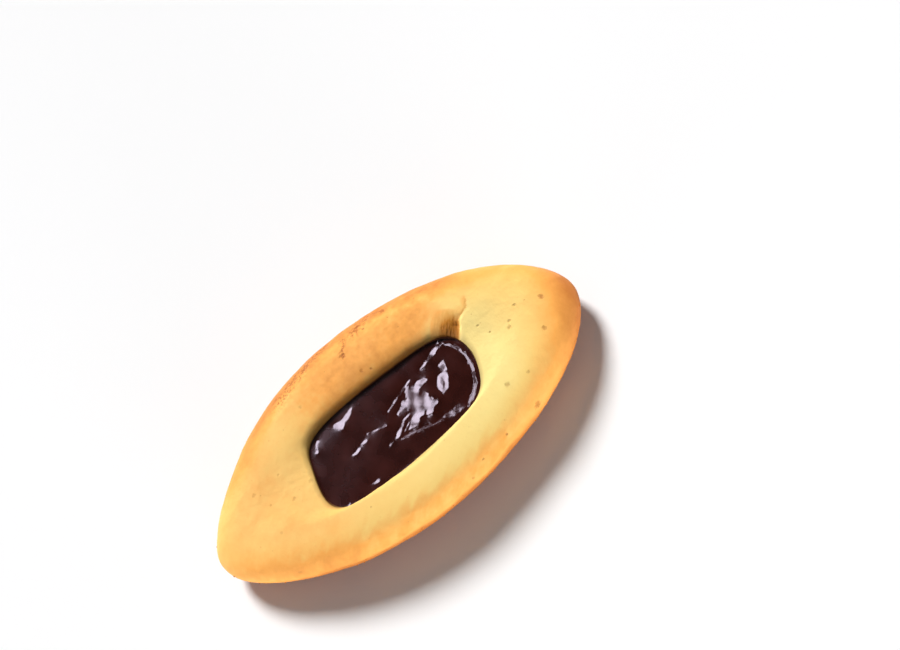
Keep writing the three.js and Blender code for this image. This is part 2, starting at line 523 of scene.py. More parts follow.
# %% [markdown]
# ## The pastry tree
#
# The tree bends the grid by the rule, joins the seam and the two poles, and moves the outline's
# middle to the frame's. The rule leaves a faint crease at the crest, so the places on the top are
# averaged with their neighbours'. Then the marks are laid on, and noise pushes the surface in and
# out along its normals.
#
# What the finish needs is kept in attributes: the section (0 to 1 over the foot, to 2 over the
# shoulder, to 3 down the lip, to 4 down the wall), the distance from the rim, the slump, and the
# soft spots. Two more say how much a point belongs to the top, and how free it is to be pushed: the
# hollow's wall isn't, because the filling meets it.


# %% Steps that more than one tree takes
def stored(tree, geometry, name, value):
    """The geometry with a value kept on its points."""
    inputs = {"Geometry": geometry, "Name": name, "Value": value}
    return result(tree, "GeometryNodeStoreNamedAttribute", inputs, data_type="FLOAT")


def named(tree, name):
    return result(tree, "GeometryNodeInputNamedAttribute", {"Name": name}, data_type="FLOAT")


def moved(tree, geometry, position=None, offset=None):
    how = {"Position": position} if position else {"Offset": offset}
    return result(tree, "GeometryNodeSetPosition", {"Geometry": geometry, **how})


def blurred(tree, weight, rounds):
    """Places averaged with their neighbours' again and again, where the weight is more than 0."""
    place = result(tree, "GeometryNodeInputPosition")
    inputs = {"Value": place, "Iterations": rounds, "Weight": weight}
    return result(tree, "GeometryNodeBlurAttribute", inputs, data_type="FLOAT_VECTOR")


def joined_seam(tree, geometry):
    return result(tree, "GeometryNodeMergeByDistance", {"Geometry": geometry, "Distance": 0.002})


def ring_grid(tree, around, rows):
    """A grid, the angle round the boat along one side, and the row along the other."""
    inputs = {"Size X": 1.0, "Size Y": 1.0, "Vertices X": around + 1, "Vertices Y": rows + 1}
    grid = result(tree, "GeometryNodeMeshGrid", inputs, "Mesh")
    x, y, _ = split(tree, result(tree, "GeometryNodeInputPosition"))
    return grid, (x + 0.5) * (2 * math.pi), (y + 0.5) * rows


def rescaled(tree, geometry, factor):
    place = result(tree, "GeometryNodeInputPosition")
    return moved(tree, geometry, position=scaled(tree, place, factor))


def ripple(x, y, terms):
    """A sum of plane waves: height, turns in a millimetre along X and along Y, and phase."""
    return sum(sine((x * along_x + y * along_y) * (2 * math.pi) + phase) * height
               for height, along_x, along_y, phase in terms)


# %% The tree
def pastry_tree(material):
    tree, _, sizes = new_tree("Pastry boat", BOAT)
    mesh, angle, rows = ring_grid(tree, AROUND, sum(STEPS.values()))
    shares = section_shares(rows)
    section = shares["foot"] + shares["shoulder"] + shares["lip"] + shares["wall"]
    x, y, z, away = boat_point(angle, shares, sizes)
    top = (shares["shoulder"] * (math.pi / 2)).sine() * (1 - shares["wall"])
    free = 1 - section.share(2.75, 3.1, smooth=True)
    for name, value in (("section", section), ("rim", away), ("top", top), ("free", free),
                        ("slump", slump_at(angle, sizes))):
        mesh = stored(tree, mesh, name, value)
    mesh = moved(tree, mesh, position=join(tree, x - MIDDLE[0], y - MIDDLE[1], z))
    mesh = joined_seam(tree, mesh)

    calm = named(tree, "rim").share(1.2, 4.0) * named(tree, "top")
    mesh = moved(tree, mesh, position=blurred(tree, calm, 120))

    place = result(tree, "GeometryNodeInputPosition")
    x, y, z = split(tree, place)
    lift = (ripple(x, y, LUMPS) - fold_drop(x, y)) * named(tree, "top")
    mesh = moved(tree, mesh, offset=join(tree, 0.0, 0.0, lift))

    # The fold's browning and its painted shade are kept for the finish.
    mesh = stored(tree, mesh, "fold", fold_brown_and_shade(x, y) * named(tree, "top"))
    mesh = stored(tree, mesh, "pitted", soft_spots(tree, mesh, place, PITS))
    mesh = stored(tree, mesh, "scuffed", soft_lines(x, y, SCUFFS) * named(tree, "top"))

    crumbly = noise(tree, place, 0.8, detail=3.0, seed=2.0) * (1 - z.share(0.8, 4.5, smooth=True))
    push = noise(tree, place, 9.0, seed=1.0) * 0.24 + noise(tree, place, 2.6, seed=3.0) * 0.09
    push = (push + crumbly * 0.14) * z.share(0.0, 0.5, smooth=True) * named(tree, "free")
    normal = result(tree, "GeometryNodeInputNormal")
    mesh = moved(tree, mesh, offset=scaled(tree, normal, push))
    finish_tree(tree, rescaled(tree, mesh, MM), material)
    return tree


# %% [markdown]
# ## How baked dough takes colour
#
# Dough goes from cream to pale, gold and brown as it bakes, first at edges and where it lies on
# the tray. The colour isn't even: it lies in soft patches with fine freckles. The pastry and its
# crumbs are the same dough, so the effect is a node group with its own inputs, used by both
# materials. Its browning is 0 for pale dough, 0.5 for gold and 1 for brown.


# %% Colours and shader helpers
def paint(red, green, blue):
    """A screen colour, 0 to 255, as the linear colour that Blender's sockets take."""
    parts = [c / 255 for c in (red, green, blue)]
    linear = [p / 12.92 if p <= 0.04045 else ((p + 0.055) / 1.055) ** 2.4 for p in parts]
    return (*linear, 1.0)


def blend_colour(tree, start, end, share):
    return result(tree, "ShaderNodeMix", {0: share, 6: start, 7: end}, 2, data_type="RGBA")


def place_in_mm(tree):
    return scaled(tree, result(tree, "ShaderNodeTexCoord", output="Object"), 1 / MM)


def attribute(tree, name):
    return result(tree, "ShaderNodeAttribute", output="Fac", attribute_name=name)


def new_material(name):
    material = bpy.data.materials.new(name)
    material.use_nodes = True
    return material, material.node_tree, material.node_tree.nodes["Principled BSDF"]


def bump(tree, height_mm):
    """A normal for a relief whose height is in millimetres."""
    return result(tree, "ShaderNodeBump", {"Height": height_mm, "Distance": MM})


def put_group(tree, group, inputs):
    """Places a node group with its inputs, and gives its outputs by name."""
    node = add_node(tree, "ShaderNodeGroup", inputs, node_tree=group)
    return {socket.name: Wire(tree, socket) for socket in node.outputs}


# %% The baking group
CREAM = paint(255, 232, 150)
PALE = paint(253, 213, 126)
GOLD = paint(250, 174, 86)
BROWN = paint(205, 124, 54)
DARK = paint(140, 78, 36)


def baking_group():
    group = bpy.data.node_groups.new("Baking", "ShaderNodeTree")
    for label in ("Browning", "Patch Size", "Freckles"):
        group.interface.new_socket(label, in_out="INPUT", socket_type="NodeSocketFloat")
    for label, kind in (("Colour", "NodeSocketColor"), ("Grain", "NodeSocketFloat")):
        group.interface.new_socket(label, in_out="OUTPUT", socket_type=kind)
    start = group.nodes.new("NodeGroupInput")
    browning_and_shade, patch, freckles = [Wire(group, start.outputs[i]) for i in range(3)]
    place = place_in_mm(group)
    sized = scaled(group, place, 1 / patch)
    patches = noise(group, sized, 1.0, detail=3.0, roughness=0.6, seed=7.0)
    fine = noise(group, place, 0.45, detail=3.0, seed=5.0)
    baked = browning_and_shade + patches * 0.2 * (browning_and_shade * 2 + 0.3).above(0.1).below(1.0) + fine * 0.02
    colour = blend_colour(group, CREAM, PALE, baked.share(-0.4, 0.0))
    colour = blend_colour(group, colour, GOLD, baked.share(0.0, 0.5))
    colour = blend_colour(group, colour, BROWN, baked.share(0.5, 1.0))
    colour = blend_colour(group, colour, DARK, baked.share(1.1, 1.6))
    colour = blend_colour(group, colour, BROWN, fine.share(0.2, 0.7) * freckles)
    add_node(group, "NodeGroupOutput", {"Colour": colour, "Grain": fine})
    print("the baking group takes", len(group.nodes), "nodes")
    return group


BAKING = baking_group()


# %% [markdown]
# ## The pastry's finish
#
# The top is pale gold and dry. The near shoulder baked more orange, in streaks that run across it,
# and the edge under it is darker with painted shade. The far rim has a thin crust, the dough between
# it and the hollow is mottled, and the foot is brown. Where the rim slumped there is a soft dark
# margin that reaches furthest along the middle: partly the chocolate's stain, and partly painted
# shade of a rim that rolls away from the light. The wall below it is painted dark the same way.
# The firm rim is clean.


# %% Streaks and pores
def stretched_noise(tree, place, run, across, along):
    """Noise in streaks that lie along a direction."""
    place = join(tree, along_axis(tree, place, (-run[1], run[0], 0.0)) / across,
                 along_axis(tree, place, (*run, 0.0)) / along, 0.0)
    return noise(tree, place, 1.0, seed=14.0)


def pores(tree, place, spacing, radius):
    """Tiny round holes scattered over the dough, 1 in the middle of each."""
    inputs = {"Vector": place, "Scale": 1 / spacing}
    cells = add_node(tree, "ShaderNodeTexVoronoi", inputs)
    luck = split(tree, Wire(tree, cells.outputs["Color"]))[0]
    away = Wire(tree, cells.outputs["Distance"]) * spacing
    return 1 - (away / (luck ** 2 * radius + 0.02)).share(0.3, 1.0, smooth=True)


# %% Where the pastry is brown, and painted shade under its near edge
STREAK_RUN = (0.88, 0.47)  # across the near shoulder


def shoulder_browning_and_shade(tree, place, edge, wander):
    """How brown the near shoulder and the sides are, and the painted shade on the edge under them."""
    x, y, _ = split(tree, place)
    streaks = stretched_noise(tree, place, STREAK_RUN, 1.3, 5.0)
    near = (y * -1 + wander).share(2.0, 6.0) * (x.share(-38.0, -20.0) * 0.6 + 0.4)
    near = near * (1 - (x + wander * 3).share(14.0, 24.0))
    band = edge.share(1.0, 1.12, smooth=True)
    band = band * (1 - (edge + streaks * 0.3).share(1.36, 1.72, smooth=True))
    band = band * near * (streaks.share(-0.35, 0.3) * 0.26 + 0.26)
    side = (1 - edge.share(1.1, 1.4, smooth=True)) * x.share(-35.0, -25.0) * 0.4
    side_of_tip = (1 - edge.share(1.2, 1.9, smooth=True)) * x.share(12.0, 22.0) * 0.4
    # Painted shade: the near edge is darker where it turns under, away from the light.
    shade_under_edge = (1 - edge.share(0.98, 1.1, smooth=True)) * near * 0.35
    return band.above(side).above(side_of_tip), shade_under_edge


def browning_and_shade_of_pastry(tree, place, section, wander):
    """Everything that browns the dough, the painted shade under the near edge, a darker patch round the
    hollow's near corner, and the near rim, which stayed cream.
    """
    x, y, z = split(tree, place)
    edge = section + wander * 0.12
    shoulder, shade_under_edge = shoulder_browning_and_shade(tree, place, edge, wander)

    crust = (y + wander).share(5.0, 9.0) * (1 - edge.share(1.5, 2.0, smooth=True)) * 0.8
    crust = crust * (x.share(-26.0, -16.0) * 0.6 + x.share(-40.0, -36.0) * 0.4)
    crust = crust * (1 - x.share(22.0, 28.0) * 0.4 - x.share(34.0, 40.0) * 0.6)
    beyond = (y + wander * 1.2).share(2.0, 7.0, smooth=True)
    beyond = beyond * (1 - (x - y + wander * 1.2).share(5.0, 13.0, smooth=True))
    beyond = beyond * (x + y * 0.4 + wander).share(-14.0, -1.0)
    mottled = noise(tree, place, 1.3, detail=2.0, seed=16.0) * (beyond * 0.25 + 0.04)

    left_end = (x * -1 + wander * 3).share(12.0, 26.0, smooth=True)
    tip = (x - y * 0.3 + wander * 1.5).share(30.5, 41.0) ** 1.6
    foot = 1 - (z + wander * 0.6).share(2.0, 7.0, smooth=True)
    beneath = 1 - (z + wander * 0.5).share(0.5, 4.5)
    corner = bell(((x + 16) * (x + 16) + (y + 10) * (y + 10)) ** 0.5, 4.0)
    cream = (1 - left_end) * (1 - x.share(23.0, 30.0)) * (1 - (y + wander).share(4.0, 8.0))
    cream = cream * section.share(1.3, 1.9, smooth=True) * (x - y * 0.3).share(-4.0, 20.0)
    cream = cream * (1 - section.share(2.9, 3.2) * 1.4)

    baked = shoulder.above(beyond * 0.5).above(crust) + shade_under_edge + left_end * 0.24 + tip * 0.65
    return baked + foot * 0.8 + beneath * 0.5 + corner * 0.15 + 0.04 - cream * 0.33 + mottled


# %% Pastry material
# The fold's brown, the stain and the stained wall stand partly for painted shade.
FOLD_BROWN_AND_SHADE, FOLD_DEEP = paint(198, 122, 26), paint(130, 74, 12)
PALE_PIT, BAKED_PIT = paint(190, 146, 76), paint(160, 80, 30)
SCUFF, PORE = paint(168, 82, 34), paint(205, 140, 70)
STAIN_AND_SHADE, STAINED_AND_SHADED_WALL = paint(46, 20, 0), paint(84, 42, 27)


def with_fold(tree, colour, place, speck):
    """The colour with the fold's browning and painted shade on it, and how deep its streaks are."""
    fold = attribute(tree, "fold")
    streaked = stretched_noise(tree, place, FOLD["run"], 0.5, 2.4)
    browned_and_shaded = (fold + streaked * fold.share(0.0, 0.3) * 0.3 + speck * 0.2).share(0.12, 0.75)
    deep = (fold + streaked * 0.9).share(0.8, 1.4)
    # Painted shade with the browning: the crease and the slope beside it face away from the light.
    colour = blend_colour(tree, colour, FOLD_BROWN_AND_SHADE, browned_and_shaded * 0.92)
    return blend_colour(tree, colour, FOLD_DEEP, deep * 0.6), deep


def with_stain_and_shade(tree, colour, place, wander):
    """The colour with the dark margin by the slumped rim, and the wall below it: partly the chocolate's
    stain, and partly painted shade of a rim that rolls away from the light.
    """
    x, _, _ = split(tree, place)
    rim, slump = attribute(tree, "rim"), attribute(tree, "slump")
    uneven = noise(tree, place, 1.6, detail=2.0, seed=17.0) * 0.25 + wander * 0.2 + 1
    reach = (slump ** 2 * x.share(-17.0, -2.0) * 4.0 + 0.9) * uneven
    # Painted shade with the stain: darker towards the slumped rim, reaching furthest along the middle.
    stained_and_shaded = (1 - rim / reach).above(0.0).below(1.0) ** 1.1
    colour = blend_colour(tree, colour, STAIN_AND_SHADE, stained_and_shaded * 0.42)
    # The wall under the slumped rim is painted dark: stain and shade.
    wall = 1 - (rim * 2 + 0.5).share(-0.2, 0.5)
    return blend_colour(tree, colour, STAINED_AND_SHADED_WALL, wall * slump.share(0.05, 0.3))


def pastry_material():
    material, tree, shader = new_material("Baked shortcrust")
    place = place_in_mm(tree)
    x, _, _ = split(tree, place)
    wander = noise(tree, place, 5.0, detail=2.0, seed=11.0)
    browning_and_shade = browning_and_shade_of_pastry(tree, place, attribute(tree, "section"), wander)
    # The fold also darkens the dough here: browning, and painted shade of its crease.
    browning_and_shade = browning_and_shade + attribute(tree, "fold").share(0.01, 0.12) * 0.3
    # The browning passed to the group holds that painted shade too.
    baked = put_group(tree, BAKING, {"Browning": browning_and_shade, "Patch Size": 2.6, "Freckles": 0.1})

    speck = noise(tree, place, 0.4, detail=2.0, seed=15.0) * 0.4
    pit = (attribute(tree, "pitted") + speck).share(0.55, 0.95) * (x.share(-12.0, 5.0) * 0.5 + 0.5)
    scuffed = (attribute(tree, "scuffed") * 1.4).below(1.0)
    scuffed = scuffed * noise(tree, place, 0.5, detail=2.0, seed=13.0).share(-0.1, 0.2)
    tiny = pores(tree, place, 1.7, 0.22)

    colour, deep = with_fold(tree, baked["Colour"], place, speck)
    in_pit = blend_colour(tree, PALE_PIT, BAKED_PIT, browning_and_shade.share(0.1, 0.35))
    colour = blend_colour(tree, colour, in_pit, pit * 0.55)
    colour = blend_colour(tree, colour, SCUFF, scuffed * 0.65)
    colour = blend_colour(tree, colour, PORE, tiny * 0.4)
    colour = with_stain_and_shade(tree, colour, place, wander)

    height = baked["Grain"] * 0.02 + noise(tree, place, 1.6, detail=2.0, seed=9.0) * 0.07
    height = height - pit * 0.12 - scuffed * 0.06 - tiny * 0.05 - deep * 0.12
    set_inputs(tree, shader, {"Base Color": colour, "Normal": bump(tree, height)})
    set_inputs(tree, shader, {"Roughness": 0.62, "Specular IOR Level": 0.25})
    return material


# %% Grow the pastry
pastry = grow("pastry", pastry_tree(pastry_material()), BOAT)
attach(pastry, "root")
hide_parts("pastry_boat")

# %% [markdown]
# ## The filling
#
# The chocolate was piped warm, and it set with low ridges and tears where the nozzle left it. On a
# surface this glossy only the slope matters: the flat parts mirror the dark of the room, and each
# part that leans a few degrees towards the window shows it as a bright shape.
#
# So the relief is worked out from those shapes. Each stroke below is a run of points with a half
# width, and inside a stroke the surface leans towards the window. A ledge is drawn the same way,
# but there the surface slopes square to its run, steeply enough to catch the lower lights. The
# heights are the ones whose slopes come closest to all that: a least-squares problem on a raster,
# solved by conjugate gradients. A raster suits NumPy better than nodes, so this piece is made in
# mesh code.

# %% Strokes and ledges, in millimetres: x, y, half width
STROKES = [
    [(10.2, 0.1, 0.2), (8.4, 0.4, 0.8), (6.7, -0.1, 1.25), (5.6, -1.2, 1.35)],
    [(6.1, -1.1, 1.4), (7.0, -2.5, 1.6), (7.8, -3.9, 1.4), (9.1, -4.4, 0.5)],
    [(6.5, -2.8, 1.5), (5.3, -3.8, 1.4), (4.0, -4.8, 0.8), (2.8, -5.1, 0.3)],
    [(5.4, -1.1, 0.9), (4.0, -1.2, 0.6), (2.6, -1.5, 0.25)],
    [(12.6, -0.8, 0.35), (13.1, -1.9, 0.5), (12.6, -3.2, 0.4), (11.4, -3.8, 0.3)],
    [(11.4, -3.8, 0.3), (11.3, -2.4, 0.4), (12.0, -1.1, 0.35), (12.6, -0.8, 0.35)],
    [(13.4, 0.9, 0.2), (14.3, 0.6, 0.4), (14.1, -0.6, 0.2)],
    [(16.1, 3.5, 0.27), (14.5, 3.6, 0.42), (12.7, 3.1, 0.3), (10.2, 2.4, 0.16)],
    [(7.5, 2.1, 0.18), (4.6, 1.2, 0.2), (1.5, 0.0, 0.2)],
    [(13.2, -8.2, 0.3), (11.8, -8.0, 0.65), (10.6, -7.7, 0.75), (9.2, -7.4, 0.4)],
    [(4.4, -2.9, 0.16), (2.7, -3.1, 0.18), (1.8, -3.9, 0.27), (0.6, -4.6, 0.4), (-0.4, -5.0, 0.16)],
    [(-0.9, -5.0, 0.14), (-1.7, -5.2, 0.26)],
    [(3.3, -4.1, 0.14), (1.8, -4.9, 0.2)],
    [(-7.9, 4.4, 0.16), (-6.3, 4.0, 0.42), (-5.0, 4.2, 0.42), (-3.9, 4.8, 0.2)],
    [(-6.1, 3.8, 0.3), (-7.0, 3.1, 0.26)],
    [(-5.8, -1.7, 0.27), (-5.0, -1.8, 0.36)],
    [(-4.0, -0.8, 0.12), (-2.2, -1.4, 0.14), (-0.3, -2.0, 0.12)],
    [(-6.8, -2.2, 0.25), (-7.5, -2.4, 0.2), (-8.3, -2.2, 0.14)],
    [(-12.2, 4.1, 0.18), (-12.8, 3.3, 0.23), (-13.3, 2.3, 0.16)],
    [(-8.1, -8.8, 0.32), (-7.1, -8.9, 0.39)],
]
LEDGES = [
    [(15.6, 3.9, 0.1), (17.0, 2.6, 0.2), (17.9, 1.0, 0.3), (18.3, -1.6, 0.34), (17.8, -3.9, 0.3)],
    [(17.8, -3.9, 0.3), (16.9, -5.9, 0.3), (15.4, -7.4, 0.38), (13.6, -8.3, 0.4)],
    [(8.6, -7.7, 0.3), (6.3, -7.2, 0.34), (4.3, -6.5, 0.34), (0.9, -5.7, 0.22)],
]
# %% How the surface slopes, and how it meets the wall
LEDGE_SLOPE = 0.3
# The slopes along X and Y that mirror the window at one place, and how they grow away from it.
LEAN_AT, LEAN, LEAN_GROWS = (6.5, -2.5), (0.06, -0.095), (0.0024, 0.0022)

# Plane waves: height, turns in a millimetre along X and Y, and phase. They make the strokes' widths,
# the slopes inside them, and the level of the whole surface uneven.
WOBBLES = [
    (0.2, 0.33, 0.21, 0.0), (0.2, -0.25, 0.41, 2.0), (0.12, 0.9, -0.55, 1.0), (0.12, 0.45, 1.1, 4.0),
]
RIPPLES = [(0.015, 0.21, 0.31, 0.5), (0.015, -0.42, 0.25, 2.5), (0.01, 0.7, 0.6, 4.0)]
SWELLS = [(0.03, 0.04, 0.03, 1.0), (0.012, -0.06, 0.11, 3.0)]

RASTER_STEP, RASTER_LOW, RASTER_HIGH = 0.1, (-19.5, -12.0), (20.5, 9.5)
LOOSE = 0.05  # how firmly the surface is held level outside the strokes
SETTLE = 1.5  # how far from a stroke it takes to settle
ROUNDS = 600

LEVEL = 10.45  # height of the filling's edge
DOME = 0.1  # how much higher its middle is
CLIMB, CLIMB_WIDTH = 0.04, 0.2  # how far it creeps up the wall
INTO_WALL = 0.3  # how far it reaches into the wall, so no gap shows
INTO_FLOOR = 0.05
WALL_ROW = 8.0  # height of a row of points between the edge and the floor
HALF_LENGTH, HALF_WIDTH = 17.0, 8.0  # about half the top, to tell how far off its edge is


# %% The relief
def part_cover(x, y, start, end, swell):
    """How much one part of a stroke covers each point, 0 to 1."""
    (ax, ay, a_half), (bx, by, b_half) = start, end
    run_x, run_y = bx - ax, by - ay
    share = np.clip(((x - ax) * run_x + (y - ay) * run_y) / (run_x ** 2 + run_y ** 2), 0, 1)
    away = np.hypot(x - ax - run_x * share, y - ay - run_y * share)
    half = (a_half + (b_half - a_half) * share) * swell
    return np.clip((half - away) / 0.1 + 0.5, 0, 1)


def wanted_slopes(x, y):
    """Where strokes and ledges cover the raster, and the slopes along x and y that they want."""
    cover, swell = np.zeros_like(x), 1 + ripple(x, y, WOBBLES)
    slopes = [LEAN[i] + LEAN_GROWS[i] * ((x, y)[i] - LEAN_AT[i]) + ripple(x, y + i * 3, RIPPLES)
              for i in (0, 1)]
    for stroke in STROKES:
        for start, end in zip(stroke, stroke[1:]):
            cover = np.maximum(cover, part_cover(x, y, start, end, swell))
    for ledge in LEDGES:
        for start, end in zip(ledge, ledge[1:]):
            part = part_cover(x, y, start, end, swell)
            run = np.array(end[:2]) - start[:2]
            for i, square in enumerate((-run[1], run[0])):
                slope = LEDGE_SLOPE * square / np.hypot(*run)
                slopes[i] = np.where(part > cover, slope, slopes[i])
            cover = np.maximum(cover, part)
    return cover, slopes


def answer(heights, hold_x, hold_y, keep):
    """The left side of the problem: how much each height is pulled by its neighbours' heights."""
    out = keep * heights
    for hold, axis in ((hold_x, 0), (hold_y, 1)):
        pulled = hold * np.diff(heights, axis=axis)
        out += gathered(pulled, axis)
    return out


def gathered(pulled, axis):
    """What the pulls between neighbours add up to at each point."""
    before = [(1, 0), (0, 0)] if axis == 0 else [(0, 0), (1, 0)]
    after = [(0, 1), (0, 0)] if axis == 0 else [(0, 0), (0, 1)]
    return np.pad(pulled, before) - np.pad(pulled, after)


def between(values, axis):
    """Values halfway between neighbours."""
    return (values[1:] + values[:-1]) / 2 if axis == 0 else (values[:, 1:] + values[:, :-1]) / 2


def ridge_raster():
    """The heights whose slopes come closest to the lean in strokes, and to level elsewhere."""
    x, y = np.meshgrid(*[np.arange(low, high, RASTER_STEP) for low, high in
                         zip(RASTER_LOW, RASTER_HIGH)], indexing="ij")
    cover, slopes = wanted_slopes(x, y)
    hold = LOOSE + (1 - LOOSE) * cover
    holds = [between(hold, axis) for axis in (0, 1)]
    keep = LOOSE * (RASTER_STEP / SETTLE) ** 2
    wanted = sum(gathered(holds[i] * between(cover * slopes[i], i) * RASTER_STEP, i) for i in (0, 1))
    heights, rest = np.zeros_like(x), wanted
    step, left = wanted, (wanted ** 2).sum()
    for _ in range(ROUNDS):
        pulled = answer(step, *holds, keep)
        share = left / (step * pulled).sum()
        heights, rest = heights + share * step, rest - share * pulled
        left, before = (rest ** 2).sum(), left
        step = rest + left / before * step
    print("ridges from", round(heights.min(), 2), "to", round(heights.max(), 2), "mm")
    return heights


def read_raster(heights, x, y):
    """Heights between the raster's points, at any x and y."""
    across, along = [(v - low) / RASTER_STEP for v, low in zip((x, y), RASTER_LOW)]
    i, j = across.astype(int), along.astype(int)
    u, v = across - i, along - j
    near = heights[i, j] * (1 - v) + heights[i, j + 1] * v
    far = heights[i + 1, j] * (1 - v) + heights[i + 1, j + 1] * v
    return near * (1 - u) + far * u


# %% The filling's mesh
def wall_at(angle, z):
    """The hollow's wall at a height, and a little way into it, about the frame's middle."""
    slump = slump_at(angle, HOLLOW)
    rim = mix(HOLLOW["Rim Firm"], HOLLOW["Rim Slumped"], slump)
    draft = mix(HOLLOW["Draft Firm"], HOLLOW["Draft Slumped"], slump)
    drawn = draft * (rim - z) / (rim - HOLLOW["Floor Height"])
    x, y = hollow_outline(angle, drawn - INTO_WALL, HOLLOW)
    return x - MIDDLE[0], y - MIDDLE[1]


def filling_points(columns, rows):
    """Points of the top, on a grid that is squeezed into the hollow's outline."""
    u, v = np.meshgrid(np.linspace(-1, 1, columns), np.linspace(-1, 1, rows))
    reach = np.maximum(np.abs(u), np.abs(v))
    angle = np.arctan2(v, u)
    edge_x, edge_y = wall_at(angle, LEVEL)
    middle_x, middle_y = HOLLOW["Hollow X"] - MIDDLE[0], HOLLOW["Hollow Y"] - MIDDLE[1]
    x = middle_x + (edge_x - middle_x) * reach
    y = middle_y + (edge_y - middle_y) * reach
    from_wall = np.minimum((1 - np.abs(u)) * HALF_LENGTH, (1 - np.abs(v)) * HALF_WIDTH) - INTO_WALL
    z = LEVEL + DOME * (1 - reach ** 2) + read_raster(ridge_raster(), x, y)
    z = z + CLIMB * np.exp(-np.maximum(from_wall, 0) / CLIMB_WIDTH) + ripple(x, y, SWELLS)
    return np.stack([x, y, z], axis=-1), angle


def filling_mesh(columns=350, rows=170):
    """The top as a grid, and walls down from its edge to a flat bottom."""
    top, angle = filling_points(columns, rows)
    index = np.arange(columns * rows).reshape(rows, columns)
    faces = np.stack([index[:-1, :-1], index[:-1, 1:], index[1:, 1:], index[1:, :-1]], axis=-1)
    edge = np.concatenate([index[0, :-1], index[:-1, -1], index[-1, :0:-1], index[:0:-1, 0]])
    points, faces = [top.reshape(-1, 3)], faces.reshape(-1, 4).tolist()
    ring = edge
    for z in (WALL_ROW, HOLLOW["Floor Height"]):
        x, y = wall_at(angle.reshape(-1)[edge], z)
        points.append(np.stack([x, y, np.full_like(x, z - INTO_FLOOR)], axis=-1))
        lower = np.arange(len(edge)) + sum(len(p) for p in points[:-1])
        faces += np.stack([ring, lower, np.roll(lower, -1), np.roll(ring, -1)], axis=-1).tolist()
        ring = lower
    faces.append(ring[::-1].tolist())
    mesh = bpy.data.meshes.new("filling")
    mesh.from_pydata((np.concatenate(points) * MM).tolist(), [], faces)
    return mesh


# %% Chocolate material
DEEP_CHOCOLATE, CHOCOLATE = paint(40, 14, 11), paint(62, 25, 20)


def chocolate_material():
    material, tree, shader = new_material("Set chocolate")
    place = place_in_mm(tree)
    cloud = noise(tree, place, 3.5, detail=3.0, seed=31.0)
    colour = blend_colour(tree, DEEP_CHOCOLATE, CHOCOLATE, cloud.share(-0.5, 0.6))
    height = noise(tree, place, 0.8, detail=2.0, seed=32.0) * 0.003
    inputs = {"Base Color": colour, "Roughness": cloud * 0.04 + 0.13, "Normal": bump(tree, height)}
    set_inputs(tree, shader, inputs)
    return material


# %% Make the filling
filling = add_piece("filling", filling_mesh())
filling.data.materials.append(chocolate_material())
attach(filling, "root")
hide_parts("chocolate_filling")

# %% [markdown]
# ## Crumbs
#
# Shortcrust sheds grains, and the cut edge at the foot always keeps some. They are small lumps of
# the same dough, so one tree scatters them over the pastry's own surface, thickest low down, and
# half sunk so that they hold on. They are made real mesh, since an instance isn't exported.

# %% Crumbs
CRUMBS = {"Density": 0.3, "Smallest": 0.1, "Largest": 0.24, "Sunk": 0.06}


def crumb_material():
    material, tree, shader = new_material("Crumb")
    baked = put_group(tree, BAKING, {"Browning": 0.95, "Patch Size": 1.5, "Freckles": 0.3})
    normal = bump(tree, baked["Grain"] * 0.03)
    set_inputs(tree, shader, {"Base Color": baked["Colour"], "Normal": normal})
    set_inputs(tree, shader, {"Roughness": 0.7, "Specular IOR Level": 0.25})
    return material


def crumb_tree(material):
    tree, surface, sizes = new_tree("Crumbs", CRUMBS)
    surface = rescaled(tree, surface, 1 / MM)
    place = result(tree, "GeometryNodeInputPosition")
    _, _, z = split(tree, place)
    low_down = z.share(0.35, 1.0) * (1 - z.share(2.5, 7.0))
    patches = noise(tree, place, 4.0, seed=41.0).share(-0.2, 0.6)
    density = low_down * (patches + 0.25) * sizes["Density"]
    inputs = {"Mesh": surface, "Density": density, "Seed": 6}
    points = result(tree, "GeometryNodeDistributePointsOnFaces", inputs, "Points")
    grain = result(tree, "GeometryNodeMeshIcoSphere", {"Radius": 1.0, "Subdivisions": 2}, "Mesh")
    full_turns = {1: (6.28, 6.28, 6.28), "Seed": 7}
    turned = result(tree, "FunctionNodeRandomValue", full_turns, data_type="FLOAT_VECTOR")
    limits = {2: sizes["Smallest"], 3: sizes["Largest"], "Seed": 8}
    grain_size = result(tree, "FunctionNodeRandomValue", limits, 1, data_type="FLOAT")
    inputs = {"Points": points, "Instance": grain, "Rotation": turned, "Scale": grain_size}
    crumbs = result(tree, "GeometryNodeInstanceOnPoints", inputs)
    crumbs = result(tree, "GeometryNodeRealizeInstances", {0: crumbs})
    rough = noise(tree, place, 0.2, detail=2.0, seed=42.0) * 0.12 - sizes["Sunk"]
    normal = result(tree, "GeometryNodeInputNormal")
    crumbs = moved(tree, crumbs, offset=scaled(tree, normal, rough))
    finish_tree(tree, rescaled(tree, crumbs, MM), material)
    return tree


crumbs = grow("crumbs", crumb_tree(crumb_material()), CRUMBS, base=pastry.data.copy())
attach(crumbs, "root")

# %% [markdown]
# ## Camera, floor and light
#
# The camera has the photograph's view of this biscuit: from well above, a little off its side,
# and rolled, because the biscuit in the photograph leaned. The aim, distance and roll put the
# biscuit where it is in the picture, in a frame 900 pixels wide.

# %% Camera
FRAME_WIDTH = 900
FOCAL_PIXELS = 1500
CAMERA_TURN, CAMERA_RISE, CAMERA_ROLL = 10.884, 66.0, -48.897
CAMERA_AWAY = 267.36 * MM
CAMERA_AIM = Vector((19.05, 6.58, 7.89)) * MM


